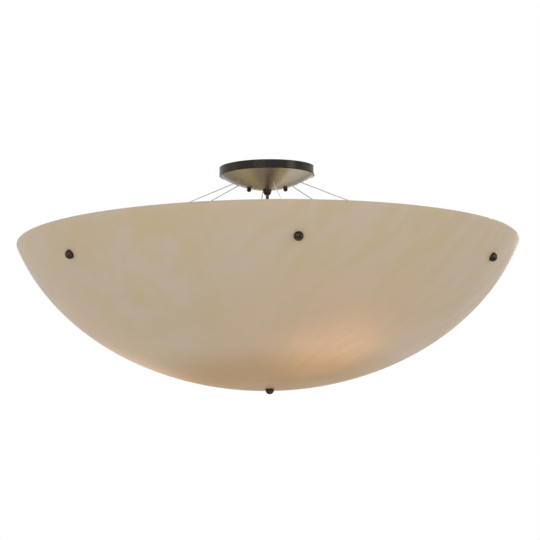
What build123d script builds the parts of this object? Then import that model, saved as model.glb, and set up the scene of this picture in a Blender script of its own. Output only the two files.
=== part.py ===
from build123d import *
from math import asin, cos, degrees, pi, radians, sin, sqrt, tan
import os

# A large alabaster-look bowl that hangs under a round ceiling canopy on six thin steel cables.
# Lengths are millimetres. The ceiling is the plane z = 0 with the light below it, +X is to the
# viewer's right and the viewer stands on the -Y side. Angles run counterclockwise from +X.

# Bowl: its outer curve is part of an ellipse, spun about the vertical axis
bowl_drop = 181.2  # ceiling to the bowl's top edge
bowl_edge_radius = 613.9  # where the outer curve would meet the top edge, before the lip is rounded
bowl_depth = 361.7
bowl_curve_height = 512.3  # the ellipse's upright half axis
bowl_wall = 8.0
lip_width = 17.0
lip_height = 28.0
lip_outer_round = 9.0
lip_inner_round = 2.5

# Six cable stations around the bowl
cable_count = 6
first_cable_angle = -83.1
cable_radius = 1.2
cable_hole_clearance = 0.4
knob_below_rim = 79.0

# Canopy, one spun shell
canopy_radius = 116.5
band_height = 20.0
dish_inset = 3.3
dish_depth = 34.0
canopy_sheet = 1.2
band_corner_round = 1.1
canopy_cable_circle = 78.0
canopy_cable_hole_radius = 2.6

# Mounting plate
plate_radius = 66.0
plate_thickness = 4.0
plate_wire_hole_radius = 18.0
box_screw_spacing = 88.9
box_slot_length = 24.0
box_slot_width = 5.2
joist_hole_spacing = 113.0
joist_hole_radius = 2.75

# Cable anchor ring and the four rods that carry it
ring_top_drop = 14.5
ring_height = 17.0
ring_outer_radius = 51.0
ring_inner_radius = 35.0
stop_radius = 3.5
rod_circle = 43.0
anchor_rod_radius = 3.0
anchor_nut_flats = 10.0
anchor_nut_height = 5.0
anchor_rod_tail = 2.0
anchor_rod_clearance = 0.3
anchor_rod_gaps = (0, 2, 3, 5)  # the gaps between cables that hold a rod; the studs are in the others
stop_seat_depth = 2.1

# Canopy studs, their locknuts, bevelled washers and ball nuts
canopy_stud_spacing = 88.9
canopy_stud_radius = 2.1
stud_hole_clearance = 0.65
stud_locknut_flats = 8.7
stud_locknut_height = 3.2
canopy_washer_radius = 5.0
canopy_washer_edge = 0.7
canopy_washer_gap = 0.1
ball_nut_radius = 5.5
ball_nut_flat_depth = 2.3
ball_nut_thread_depth = 5.6

# Cord, and the gland that holds it under the dish
cord_radius = 3.9
gland_thread_radius = 6.3
gland_flange_radius = 10.6
gland_flange_height = 4.5
gland_spigot_radius = 7.0
gland_spigot_height = 5.5
gland_cap_radius = 9.8
gland_cap_height = 8.5
gland_cap_end_radius = 7.0
gland_cap_taper_height = 5.5
gland_locknut_flats = 17.0
gland_locknut_height = 5.0
gland_thread_spare = 1.0
cord_tail = 3.0

# Leads and wire connectors inside the canopy
lead_count = 3
first_lead_angle = -53.0
lead_radius = 1.2
lead_spread = 1.9
lead_rise = 6.0
lead_bend_share = 0.45  # of the rise that a bend takes up
connector_circle = 17.0
connector_radius = 5.0
connector_tip_radius = 3.2
connector_length = 18.0
connector_gap_to_plate = 5.0

# Knobs on the bowl, and what is behind them on the inside
knob_radius = 11.2
knob_height = 13.0
knob_skirt = 3.0
knob_thread_depth = 7.8
knob_stud_radius = 3.175
stud_end_gap = 0.4
thread_clearance = 0.05
turning_gap = 0.02  # between a piece that turns and the washer or contact that travels with it
bowl_hole_clearance = 0.6
outer_washer_radius = 9.6
outer_washer_thickness = 0.8
inner_washer_radius = 12.0
inner_washer_thickness = 2.0
clamp_flange_radius = 11.0
clamp_flange_thickness = 2.5
clamp_barrel_radius = 6.5
clamp_barrel_length = 18.0
clamp_thread_depth = 8.0
clamp_pivot = 20.0  # from the outer wall inwards to where the cable's line meets the stud's line
clamp_end_round = 2.0
clamp_screw_distance = 5.5
clamp_screw_radius = 2.0
clamp_screw_length = 5.0
clamp_screw_recess_flats = 2.0
clamp_screw_recess_depth = 2.0

# Finial, centre rod and the column under the lamps
finial_radius = 10.6
finial_height = 12.3
finial_skirt = 2.8
finial_thread_depth = 8.4
finial_washer_radius = 9.0
finial_washer_thickness = 0.8
centre_rod_radius = 5.0
centre_hole_clearance = 1.0
centre_washer_radius = 35.0
centre_washer_thickness = 3.0
column_flange_radius = 32.0
column_flange_thickness = 4.0
column_radius = 11.0
column_height = 50.0
rod_nut_flats = 17.0
rod_nut_height = 8.0
rod_spare = 4.0

# Lamp hub, lid and cord bushing
hub_radius = 46.0
hub_height = 44.0
hub_wall = 2.0
lid_thickness = 2.0
lid_register_clearance = 0.2
lid_overhang = 1.2
lid_register_height = 4.0
bushing_radius = 10.0
bushing_height = 15.0
bushing_end_radius = 6.5
bushing_neck_radius = 7.0
bushing_shoulder_height = 6.0
bushing_rim_radius = 8.2
bushing_rim_height = 4.0
cord_end_in_hub = 3.0

# Three socket arms, sockets and bulbs
lamp_count = 3
first_lamp_angle = -58.0
arm_tilt = 20.0
arm_radius = 6.35
arm_wall = 1.0
arm_reach = 124.0  # from the hub's axis, along the arm
arm_inside_hub = 4.0
arm_socket_depth = 4.0
socket_radius = 19.0
socket_back_thickness = 13.0
socket_back_chamfer = 5.0
socket_mouth_round = 1.5
shell_thickness = 0.6
shell_start = 3.0
shell_end = 21.0
socket_mouth = 22.5
centre_contact_radius = 5.0
centre_contact_thickness = 1.5
lamp_lead_radius = 2.2
lamp_lead_start = 17.0
bulb_cap_radius = 13.15
bulb_cap_wall = 0.35
bulb_cap_length = 25.0
bulb_cap_floor = 8.0
bulb_cap_cone_radius = 11.0
bulb_cap_thread_start = 7.5
bulb_cap_cone_height = 5.5
bulb_contact_radius = 4.5
bulb_contact_thickness = 1.8
bulb_radius = 30.0
bulb_length = 108.0
bulb_glass_wall = 0.9
bulb_shoulder_angle = 35.0

# Places that follow from the sizes
bowl_curve_centre = bowl_curve_height - bowl_depth - bowl_drop
bowl_curve_width = bowl_edge_radius / sqrt(1 - ((bowl_curve_height - bowl_depth) / bowl_curve_height) ** 2)
bowl_bottom = -bowl_drop - bowl_depth
bowl_floor = bowl_bottom + bowl_wall
dish_radius = canopy_radius - dish_inset
dish_sphere_radius = (dish_radius**2 + dish_depth**2) / (2 * dish_depth)
dish_bottom = -band_height - dish_depth
dish_sphere_centre = dish_bottom + dish_sphere_radius
cable_angles = [first_cable_angle + i * 360 / cable_count for i in range(cable_count)]
rod_angles = [first_cable_angle + (gap + 0.5) * 360 / cable_count for gap in anchor_rod_gaps]
lead_angles = [first_lead_angle + i * 360 / lead_count for i in range(lead_count)]
lamp_angles = [first_lamp_angle + i * 360 / lamp_count for i in range(lamp_count)]


def wall_radius(height):
    """Radius of the bowl's outer surface at a height."""
    return bowl_curve_width * sqrt(1 - ((height - bowl_curve_centre) / bowl_curve_height) ** 2)


def dish_height(radius, inset=0.0):
    """Height of the canopy dish at a radius: its outer face, or a face inset into the metal."""
    return dish_sphere_centre - sqrt((dish_sphere_radius - inset) ** 2 - radius**2)


# Station frames are drawn on the +X side and turned about Z to each cable's or lamp's angle
knob_height_z = -bowl_drop - knob_below_rim
knob_seat_radius = wall_radius(knob_height_z)
knob_normal = Vector(
    knob_seat_radius / bowl_curve_width**2,
    0,
    (knob_height_z - bowl_curve_centre) / bowl_curve_height**2,
).normalized()
knob_seat = Vector(knob_seat_radius, 0, knob_height_z)
knob_frame = Plane(origin=knob_seat, x_dir=(0, 1, 0), z_dir=knob_normal)

cable_pivot = knob_seat - knob_normal * clamp_pivot
cable_hole_point = Vector(canopy_cable_circle, 0, dish_height(canopy_cable_circle))
cable_direction = (cable_hole_point - cable_pivot).normalized()
cable_frame = Plane(origin=cable_pivot, x_dir=(0, 1, 0), z_dir=cable_direction)
stop_centre_radius = ring_inner_radius + stop_seat_depth - stop_radius
stop_distance = (cable_pivot.X - stop_centre_radius) / -cable_direction.X
cable_top = stop_distance + stop_radius

hub_floor = bowl_floor + centre_washer_thickness + column_flange_thickness + column_height
hub_top = hub_floor + hub_height
arm_wall_height = hub_floor + hub_height / 2
lamp_frame = Plane(
    origin=(0, 0, arm_wall_height - hub_radius * tan(radians(arm_tilt))),
    x_dir=(0, 1, 0),
    z_dir=(cos(radians(arm_tilt)), 0, sin(radians(arm_tilt))),
)
socket_back = arm_reach - arm_socket_depth
bulb_tip = socket_back + socket_back_thickness + centre_contact_thickness


def turned(outline):
    """A piece turned about Z: the outline is a closed set of lines, with radius as X and height as Y."""
    return revolve(Plane.XZ * make_face(outline), Axis.Z)


def lathe(*corners):
    """A turned piece with straight sides, from its (radius, height) corners."""
    return turned(Polyline(*corners, close=True))


def rod(radius, start, end):
    """A round rod along Z between two heights."""
    return Pos(0, 0, start) * Cylinder(radius, end - start, align=(Align.CENTER, Align.CENTER, Align.MIN))


def ring(outer, inner, start, end):
    """A flat ring or tube along Z between two heights."""
    return rod(outer, start, end) - rod(inner, start, end)


def nut_corner(flats):
    """Radius of a hexagon's corners, from its width over flats."""
    return flats / sqrt(3)


def hexagon_nut(flats, bore, start, end):
    """A hexagon nut along Z between two heights, with its corners turned off at 30 degrees."""
    prism = extrude(Pos(0, 0, start) * RegularPolygon(flats / 2, 6, major_radius=False), end - start)
    corner = nut_corner(flats)
    drop = (corner - flats / 2) * tan(radians(30))
    blank = lathe(
        (0, start), (flats / 2, start), (corner, start + drop), (corner, end - drop), (flats / 2, end), (0, end)
    )
    return prism & blank - rod(bore, start, end)


def domed_cap(radius, height, skirt, bore, bore_depth):
    """A button cap: flat seat at z = 0, a short straight skirt, then a dome, with a blind hole."""
    rise = height - skirt
    sphere = (radius**2 + rise**2) / (2 * rise)
    half_angle = asin(radius / sphere) / 2
    middle = (sphere * sin(half_angle), height - sphere + sphere * cos(half_angle))
    outline = Polyline((0, height), (0, 0), (radius, 0), (radius, skirt))
    outline += ThreePointArc((radius, skirt), middle, (0, height))
    return turned(outline) - rod(bore, 0, bore_depth)


def around(piece, angles):
    """Copies of a station piece, turned about Z."""
    return [Rot(0, 0, angle) * piece for angle in angles]


def write(name, *solids):
    """One STEP file for a node: a single solid, or a group of separate ones."""
    shape = solids[0] if len(solids) == 1 else Compound(children=list(solids))
    export_step(shape, f"parts/{name}.step")


def ellipse_angle(height, half_axis):
    """Angle on the bowl's ellipse, or on its inner one, at a height."""
    return degrees(asin((height - bowl_curve_centre) / half_axis))


def bowl():
    """The bowl: an elliptical shell with a thicker, rounded lip, six stud holes and a centre hole."""
    centre = (0, bowl_curve_centre)
    inner_width = bowl_curve_width - bowl_wall
    inner_height = bowl_curve_height - bowl_wall
    rim_angle = ellipse_angle(-bowl_drop, bowl_curve_height)
    lip_angle = ellipse_angle(-bowl_drop - lip_height, inner_height)
    outer = EllipticalCenterArc(centre, bowl_curve_width, bowl_curve_height, -90, arc_size=rim_angle + 90)
    inner = EllipticalCenterArc(centre, inner_width, inner_height, -90, arc_size=lip_angle + 90)
    lip_corner = Vector(bowl_edge_radius - lip_width, -bowl_drop)
    outline = outer + Line(outer @ 1, lip_corner) + Line(lip_corner, inner @ 1) + inner
    face = make_face(outline + Line(inner @ 0, outer @ 0))
    for corner, size in ((outer @ 1, lip_outer_round), (lip_corner, lip_inner_round)):
        face = fillet(face.vertices().sort_by_distance(corner)[0], size)
    shell = revolve(Plane.XZ * face, Axis.Z)
    stud_hole = knob_frame * rod(knob_stud_radius + bowl_hole_clearance, -bowl_wall * 2, bowl_wall)
    for hole in around(stud_hole, cable_angles):
        shell -= hole
    return shell - rod(centre_rod_radius + centre_hole_clearance, bowl_bottom - bowl_wall, bowl_floor + bowl_wall)


def canopy():
    """The canopy: an upright band and a shallow dish, spun from one sheet."""
    inner_sphere = dish_sphere_radius - canopy_sheet
    inner_step = -band_height + canopy_sheet
    inner_dish_radius = sqrt(inner_sphere**2 - (dish_sphere_centre - inner_step) ** 2)
    inner_band = canopy_radius - canopy_sheet
    inner_bottom = dish_bottom + canopy_sheet
    half = dish_radius / 2
    outer_dish = ThreePointArc((dish_radius, -band_height), (half, dish_height(half)), (0, dish_bottom))
    inner_dish = ThreePointArc(
        (0, inner_bottom), (half, dish_height(half, canopy_sheet)), (inner_dish_radius, inner_step)
    )
    band = Polyline(
        (inner_dish_radius, inner_step),
        (inner_band, inner_step),
        (inner_band, 0),
        (canopy_radius, 0),
        (canopy_radius, -band_height),
        (dish_radius, -band_height),
    )
    face = make_face(band + outer_dish + Line((0, dish_bottom), (0, inner_bottom)) + inner_dish)
    corner = face.vertices().sort_by_distance((canopy_radius, -band_height))[0]
    shell = revolve(Plane.XZ * fillet(corner, band_corner_round), Axis.Z)
    for hole in around(cable_frame * rod(canopy_cable_hole_radius, 0, cable_top), cable_angles):
        shell -= hole
    shell -= at_studs(rod(canopy_stud_radius + stud_hole_clearance, dish_bottom, -canopy_sheet))
    return shell - rod(gland_thread_radius, dish_bottom - canopy_sheet, inner_bottom + canopy_sheet)


def at_studs(piece):
    """The left and the right copy of a piece that belongs on a canopy stud."""
    return [Pos(side * canopy_stud_spacing / 2, 0, 0) * piece for side in (-1, 1)]


def mounting_plate():
    """A round steel plate: wire hole, two slots for box screws, two joist holes, rod and stud holes."""
    plate = ring(plate_radius, plate_wire_hole_radius, -plate_thickness, 0)
    slot = Pos(0, 0, -plate_thickness) * extrude(
        SlotOverall(box_slot_length, box_slot_width, rotation=90), plate_thickness
    )
    joist_hole = rod(joist_hole_radius, -plate_thickness, 0)
    for side in (-1, 1):
        plate -= Pos(0, side * box_screw_spacing / 2, 0) * slot
        plate -= Pos(side * joist_hole_spacing / 2, 0, 0) * joist_hole
    for hole in around(Pos(rod_circle, 0, 0) * rod(anchor_rod_radius, -plate_thickness, 0), rod_angles):
        plate -= hole
    return plate - at_studs(rod(canopy_stud_radius, -plate_thickness, 0))


def anchor_ring():
    """A turned ring with a slanted hole and a ball seat for each cable, on four rods."""
    body = ring(ring_outer_radius, ring_inner_radius, ring_bottom, -ring_top_drop)
    passage = rod(cable_radius + cable_hole_clearance, 0, cable_top) + ball_stop_blank()
    for hole in around(cable_frame * passage, cable_angles):
        body -= hole
    rod_hole = rod(anchor_rod_radius + anchor_rod_clearance, ring_bottom, -ring_top_drop)
    for hole in around(Pos(rod_circle, 0, 0) * rod_hole, rod_angles):
        body -= hole
    return body - at_studs(rod(canopy_stud_radius + stud_hole_clearance, ring_bottom, -ring_top_drop))


def ball_stop_blank():
    """The swaged ball on a cable's upper end, before its bore, along the cable's own line."""
    return Pos(0, 0, stop_distance) * Sphere(stop_radius)


def anchor_nuts():
    """A nut above and a nut below the ring on each rod."""
    nuts = []
    for start in (-ring_top_drop, ring_bottom - anchor_nut_height):
        nut = hexagon_nut(anchor_nut_flats, anchor_rod_radius, start, start + anchor_nut_height)
        nuts += around(Pos(rod_circle, 0, 0) * nut, rod_angles)
    return nuts


def canopy_washer():
    """A bevelled washer: flat below, hollowed above to lie against the dish around its stud."""
    flat = canopy_washer_bottom + turning_gap
    blank = ring(canopy_washer_radius, canopy_stud_radius + canopy_washer_gap, flat, -band_height)
    dish = Pos(-canopy_stud_spacing / 2, 0, dish_sphere_centre) * Sphere(dish_sphere_radius + canopy_washer_gap)
    return blank - dish


def ball_nut():
    """A ball nut with a flat seat and a blind thread."""
    centre = canopy_washer_bottom - ball_nut_radius + ball_nut_flat_depth
    ball = Pos(0, 0, centre) * Sphere(ball_nut_radius)
    ball &= rod(ball_nut_radius, centre - ball_nut_radius, canopy_washer_bottom)
    bore = canopy_stud_radius + thread_clearance
    return ball - rod(bore, canopy_washer_bottom - ball_nut_thread_depth, canopy_washer_bottom)


def gland_body():
    """The gland's body: a thread up through the dish, a round flange below it and a spigot."""
    return lathe(
        (cord_radius, gland_top),
        (gland_thread_radius, gland_top),
        (gland_thread_radius, dish_bottom),
        (gland_flange_radius, dish_bottom),
        (gland_flange_radius, gland_shoulder),
        (gland_spigot_radius, gland_shoulder),
        (gland_spigot_radius, gland_shoulder - gland_spigot_height),
        (cord_radius, gland_shoulder - gland_spigot_height),
    )


def gland_cap():
    """The gland's cap, which closes over the spigot and narrows towards the cord."""
    end = gland_shoulder - gland_cap_height
    return lathe(
        (gland_spigot_radius, gland_shoulder),
        (gland_cap_radius, gland_shoulder),
        (gland_cap_radius, end + gland_cap_taper_height),
        (gland_cap_end_radius, end),
        (cord_radius, end),
        (cord_radius, gland_shoulder - gland_spigot_height),
        (gland_spigot_radius, gland_shoulder - gland_spigot_height),
    )


def canopy_lead():
    """One insulated lead from the cord's end, out and up to its wire connector."""
    points = (
        (lead_spread, 0, cord_top),
        (lead_spread, 0, cord_top + lead_rise),
        (connector_circle, 0, connector_bottom - lead_rise),
        (connector_circle, 0, connector_bottom),
    )
    out = connector_circle - lead_spread
    up = connector_bottom - cord_top - 2 * lead_rise
    turn = 90 - degrees(asin(up / sqrt(out**2 + up**2)))
    bend = lead_bend_share * lead_rise / tan(radians(turn / 2))
    path = FilletPolyline(*points, radius=bend)
    lead = sweep(Plane(path @ 0, z_dir=path % 0) * Circle(lead_radius), path)
    share = lead.volume / (pi * lead_radius**2 * path.length)
    print(f"canopy lead: bend radius {bend:.2f} mm, volume over section times length {share:.4f}")
    return lead


def wire_connector():
    """A twist-on wire connector, open end down."""
    return lathe(
        (0, connector_bottom),
        (connector_radius, connector_bottom),
        (connector_tip_radius, connector_bottom + connector_length),
        (0, connector_bottom + connector_length),
    )


def inner_washer(shell):
    """A rubber washer that fills the gap between the curved wall and the flat clamp."""
    back = -bowl_wall - inner_washer_thickness
    blank = ring(inner_washer_radius, knob_stud_radius + bowl_hole_clearance, back, -bowl_wall / 2)
    return knob_frame * blank - shell


def cable_clamp():
    """The clamp inside the bowl: a flange, a barrel that takes the stud, and a bore for the cable."""
    seat = -bowl_wall - inner_washer_thickness
    neck = seat - clamp_flange_thickness
    end = neck - clamp_barrel_length
    body = lathe(
        (0, seat),
        (clamp_flange_radius, seat),
        (clamp_flange_radius, neck),
        (clamp_barrel_radius, neck),
        (clamp_barrel_radius, end + clamp_end_round),
        (clamp_barrel_radius - clamp_end_round, end),
        (0, end),
    )
    body = knob_frame * (body - rod(knob_stud_radius, seat - clamp_thread_depth, seat))
    return body - cable_frame * rod(cable_radius, 0, clamp_barrel_length * 2) - clamp_screw_place * rod(
        clamp_screw_radius, 0, clamp_barrel_radius * 2
    )


def clamp_screw():
    """A short set screw that bears on the cable from the side, with a hexagon recess."""
    start = cable_radius
    recess = extrude(
        Pos(0, 0, start + clamp_screw_length) * RegularPolygon(clamp_screw_recess_flats / 2, 6, major_radius=False),
        -clamp_screw_recess_depth,
    )
    return clamp_screw_place * (rod(clamp_screw_radius, start, start + clamp_screw_length) - recess)


def centre_washer(shell):
    """The rubber washer under the column, shaped to the bowl's floor."""
    bore = centre_rod_radius + centre_hole_clearance
    return ring(centre_washer_radius, bore, bowl_floor - bowl_wall / 2, column_seat) - shell


def centre_column():
    """A flanged tube that lifts the lamp hub off the bowl's floor."""
    flange_top = column_seat + column_flange_thickness
    return lathe(
        (centre_rod_radius, column_seat),
        (column_flange_radius, column_seat),
        (column_flange_radius, flange_top),
        (column_radius, flange_top),
        (column_radius, hub_floor),
        (centre_rod_radius, hub_floor),
    )


def lamp_hub():
    """A round box that holds the splices, with a hole in its side for each arm."""
    box = rod(hub_radius, hub_floor, hub_top) - rod(hub_radius - hub_wall, hub_floor + hub_wall, hub_top)
    for hole in around(lamp_frame * rod(arm_radius, arm_start, socket_back), lamp_angles):
        box -= hole
    return box - rod(centre_rod_radius, hub_floor, hub_top)


def hub_lid():
    """The hub's lid, with a register that drops inside the box and a hole for the bushing."""
    register = hub_radius - hub_wall - lid_register_clearance
    disc = ring(hub_radius + lid_overhang, bushing_neck_radius, hub_top, hub_top + lid_thickness)
    return disc + ring(register, register - lid_thickness, hub_top - lid_register_height, hub_top)


def cord_bushing():
    """The bushing that grips the cord in the lid: a rim below, a neck, and a tapered nose above."""
    lid_face = hub_top + lid_thickness
    return lathe(
        (cord_radius, cord_end + cord_end_in_hub),
        (bushing_rim_radius, cord_end + cord_end_in_hub),
        (bushing_rim_radius, hub_top),
        (bushing_neck_radius, hub_top),
        (bushing_neck_radius, lid_face),
        (bushing_radius, lid_face),
        (bushing_radius, lid_face + bushing_shoulder_height),
        (bushing_end_radius, lid_face + bushing_height),
        (cord_radius, lid_face + bushing_height),
    )


def lamp_socket():
    """A socket body: a bore at the back for the arm and a deep round mouth for the bulb."""
    cavity = shell_outer_radius
    floor = bulb_tip - centre_contact_thickness
    mouth = bulb_tip + socket_mouth
    return lathe(
        (arm_radius, socket_back),
        (socket_radius - socket_back_chamfer, socket_back),
        (socket_radius, socket_back + socket_back_chamfer),
        (socket_radius, mouth - socket_mouth_round),
        (socket_radius - socket_mouth_round, mouth),
        (cavity, mouth),
        (cavity, floor),
        (0, floor),
        (0, arm_reach),
        (arm_radius, arm_reach),
    )


def bulb_cap():
    """The bulb's screw cap: a cup with a thick coned floor."""
    rim = bulb_cap_radius - bulb_cap_wall
    return lathe(
        (0, bulb_contact_thickness),
        (bulb_contact_radius, bulb_contact_thickness),
        (bulb_cap_cone_radius, bulb_cap_cone_height),
        (bulb_cap_radius, bulb_cap_thread_start),
        (bulb_cap_radius, bulb_cap_length),
        (rim, bulb_cap_length),
        (rim, bulb_cap_floor),
        (0, bulb_cap_floor),
    )


def bulb_outline(inset):
    """One face of the glass from neck to crown: a straight neck, a hollow shoulder and a dome."""
    dome = bulb_radius - inset
    neck = bulb_cap_radius - bulb_cap_wall - inset
    crown_centre = bulb_length - bulb_radius
    shoulder = radians(bulb_shoulder_angle)
    hollow = (bulb_radius * cos(shoulder) - neck - inset) / (1 - cos(shoulder)) + inset
    joint = (dome * cos(shoulder), crown_centre - dome * sin(shoulder))
    neck_top = joint[1] - hollow * sin(shoulder)
    middle = (neck + hollow * (1 - cos(shoulder / 2)), neck_top + hollow * sin(shoulder / 2))
    dome_middle = radians(90 - bulb_shoulder_angle) / 2
    dome_point = (dome * cos(dome_middle), crown_centre + dome * sin(dome_middle))
    return (
        Line((neck, bulb_cap_floor), (neck, neck_top))
        + ThreePointArc((neck, neck_top), middle, joint)
        + ThreePointArc(joint, dome_point, (0, crown_centre + dome))
    )


def bulb_glass():
    """The bulb's glass envelope, open at the neck inside the cap."""
    outer = bulb_outline(0)
    inner = bulb_outline(bulb_glass_wall)
    bottom = Line(outer @ 0, inner @ 0)
    crown = Line(outer @ 1, inner @ 1)
    return turned(outer + inner + bottom + crown)


ring_bottom = -ring_top_drop - ring_height
rod_end = ring_bottom - anchor_nut_height - anchor_rod_tail
canopy_washer_bottom = dish_height(canopy_stud_spacing / 2 - canopy_washer_radius) - canopy_washer_edge
canopy_stud_end = canopy_washer_bottom - ball_nut_thread_depth + stud_end_gap
gland_shoulder = dish_bottom - gland_flange_height
gland_locknut_seat = dish_height(nut_corner(gland_locknut_flats), canopy_sheet)
gland_top = gland_locknut_seat + gland_locknut_height + gland_thread_spare
cord_top = gland_top + cord_tail
cord_end = hub_top - bushing_rim_height - cord_end_in_hub
connector_bottom = -plate_thickness - connector_gap_to_plate - connector_length
knob_stud_inner_end = -bowl_wall - inner_washer_thickness - clamp_thread_depth
knob_stud_outer_end = outer_washer_thickness + knob_thread_depth - stud_end_gap
clamp_screw_place = Plane(
    origin=cable_pivot + cable_direction * clamp_screw_distance, x_dir=(1, 0, 0), z_dir=(0, 1, 0)
)
column_seat = bowl_floor + centre_washer_thickness
finial_seat = bowl_bottom - finial_washer_thickness
rod_bottom = finial_seat - finial_thread_depth + stud_end_gap
rod_top = hub_floor + hub_wall + rod_nut_height + rod_spare
arm_start = (hub_radius - hub_wall - arm_inside_hub) / cos(radians(arm_tilt))
shell_outer_radius = bulb_cap_radius + thread_clearance + shell_thickness

os.makedirs("parts", exist_ok=True)

# What holds the light to the ceiling
write("mounting_plate", mounting_plate())
write("anchor_rods", *around(Pos(rod_circle, 0, 0) * rod(anchor_rod_radius, rod_end, 0), rod_angles))
write("anchor_nuts", *anchor_nuts())
write("cable_anchor_ring", anchor_ring())
write("canopy_studs", *at_studs(rod(canopy_stud_radius, canopy_stud_end, 0)))
stud_locknut_end = -plate_thickness - stud_locknut_height
stud_locknut = hexagon_nut(stud_locknut_flats, canopy_stud_radius, stud_locknut_end, -plate_thickness)
write("stud_locknuts", *at_studs(stud_locknut))

# The canopy and its ball nuts
write("canopy", canopy())
for name, side in (("left", -1), ("right", 1)):
    place = Rot(0, 0, 180 if side < 0 else 0) * Pos(canopy_stud_spacing / 2, 0, 0)
    write(f"canopy_washer_{name}", place * canopy_washer())
    write(f"canopy_nut_{name}", place * ball_nut())

# The cord, its gland and the wiring inside the canopy
write("gland_body", gland_body())
gland_locknut_top = gland_locknut_seat + gland_locknut_height
write("gland_locknut", hexagon_nut(gland_locknut_flats, gland_thread_radius, gland_locknut_seat, gland_locknut_top))
write("gland_cap", gland_cap())
write("power_cord", rod(cord_radius, cord_end, cord_top))
write("canopy_leads", *around(canopy_lead(), lead_angles))
write("wire_connectors", *around(Pos(connector_circle, 0, 0) * wire_connector(), lead_angles))

# The cables and their upper stops
write("cable_end_stops", *around(cable_frame * (ball_stop_blank() - rod(cable_radius, 0, cable_top)), cable_angles))
for number, cable in enumerate(around(cable_frame * rod(cable_radius, 0, cable_top), cable_angles), 1):
    write(f"suspension_cable_{number}", cable)

# The bowl, its knobs and the clamps behind them
bowl_shell = bowl()
write("bowl", bowl_shell)
washer_face = outer_washer_thickness - turning_gap
outer_washer = ring(outer_washer_radius, knob_stud_radius + canopy_washer_gap, 0, washer_face)
knob = Pos(0, 0, outer_washer_thickness) * domed_cap(
    knob_radius, knob_height, knob_skirt, knob_stud_radius + thread_clearance, knob_thread_depth
)
for number, turn in enumerate(cable_angles, 1):
    write(f"knob_washer_{number}", Rot(0, 0, turn) * (knob_frame * outer_washer))
    write(f"bowl_knob_{number}", Rot(0, 0, turn) * (knob_frame * knob))
knob_stud = rod(knob_stud_radius, knob_stud_inner_end, knob_stud_outer_end)
write("knob_studs", *around(knob_frame * knob_stud, cable_angles))
station_shell = Rot(0, 0, -first_cable_angle) * bowl_shell
write("inner_washers", *around(inner_washer(station_shell), cable_angles))
write("cable_clamps", *around(cable_clamp(), cable_angles))
write("clamp_screws", *around(clamp_screw(), cable_angles))

# The centre: finial, rod, column and lamp hub
finial_washer_face = finial_seat + turning_gap
finial_washer_bore = centre_rod_radius + canopy_washer_gap
write("finial_washer", ring(finial_washer_radius, finial_washer_bore, finial_washer_face, bowl_bottom))
finial = domed_cap(
    finial_radius, finial_height, finial_skirt, centre_rod_radius + thread_clearance, finial_thread_depth
)
write("finial", Pos(0, 0, finial_seat) * Rot(180, 0, 0) * finial)
write("centre_rod", rod(centre_rod_radius, rod_bottom, rod_top))
write("centre_washer", centre_washer(bowl_shell))
write("centre_column", centre_column())
rod_nut_seat = hub_floor + hub_wall
write("rod_nut", hexagon_nut(rod_nut_flats, centre_rod_radius, rod_nut_seat, rod_nut_seat + rod_nut_height))
write("lamp_hub", lamp_hub())
write("hub_lid", hub_lid())
write("cord_bushing", cord_bushing())

# The three lamps
arm = ring(arm_radius, arm_radius - arm_wall, arm_start, arm_reach)
write("socket_arms", *around(lamp_frame * arm, lamp_angles))
write("lamp_leads", *around(lamp_frame * rod(lamp_lead_radius, lamp_lead_start, arm_reach), lamp_angles))
write("lamp_sockets", *around(lamp_frame * lamp_socket(), lamp_angles))
shell_tube = ring(shell_outer_radius, bulb_cap_radius + thread_clearance, bulb_tip + shell_start, bulb_tip + shell_end)
centre_contact = rod(centre_contact_radius, bulb_tip - centre_contact_thickness, bulb_tip)
socket_metal = around(lamp_frame * shell_tube, lamp_angles) + around(lamp_frame * centre_contact, lamp_angles)
write("socket_shells", *socket_metal)
for number, turn in enumerate(lamp_angles, 1):
    place = Rot(0, 0, turn) * lamp_frame.location * Pos(0, 0, bulb_tip)
    write(f"bulb_{number}", place * bulb_glass(), place * bulb_cap())
    write(f"bulb_contact_{number}", place * rod(bulb_contact_radius, 0, bulb_contact_thickness - turning_gap))
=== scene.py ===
from math import asin, cos, pi, radians, sin

import bmesh
import bpy
from mathutils import Matrix, Vector


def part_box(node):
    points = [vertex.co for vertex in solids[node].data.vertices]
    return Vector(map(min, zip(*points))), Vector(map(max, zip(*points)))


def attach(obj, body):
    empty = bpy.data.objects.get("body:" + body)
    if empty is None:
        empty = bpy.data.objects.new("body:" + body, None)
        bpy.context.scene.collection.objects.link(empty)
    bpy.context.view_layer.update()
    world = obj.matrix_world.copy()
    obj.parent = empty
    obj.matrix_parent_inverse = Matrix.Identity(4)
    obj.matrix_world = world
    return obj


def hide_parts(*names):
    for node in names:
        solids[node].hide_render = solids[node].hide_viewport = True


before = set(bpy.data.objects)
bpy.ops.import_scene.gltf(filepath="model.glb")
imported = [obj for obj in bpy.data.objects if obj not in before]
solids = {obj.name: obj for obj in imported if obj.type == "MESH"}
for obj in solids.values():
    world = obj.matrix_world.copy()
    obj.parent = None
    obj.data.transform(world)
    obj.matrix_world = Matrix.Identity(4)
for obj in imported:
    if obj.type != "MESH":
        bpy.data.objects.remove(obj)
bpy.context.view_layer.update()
root = "light"

# The studio: a pale floor a storey below the ceiling, a white world, and soft lamps in front,
# behind and at the sides. The floor is seen from above only, so a camera may look up from under it,
# and fades into the white with distance.
white = (1.0, 1.0, 1.0)
floor_height = -2.45
floor_half_width = 9.0
floor_colour = (0.80, 0.80, 0.79)
fade_reach = (1.0, 8.0)
paper_share = (0.45, 1.0)
world_light = 0.80
world_colour = (1.0, 0.99, 0.975)
bowl_middle = Vector((0, 0, -0.36))


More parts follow.
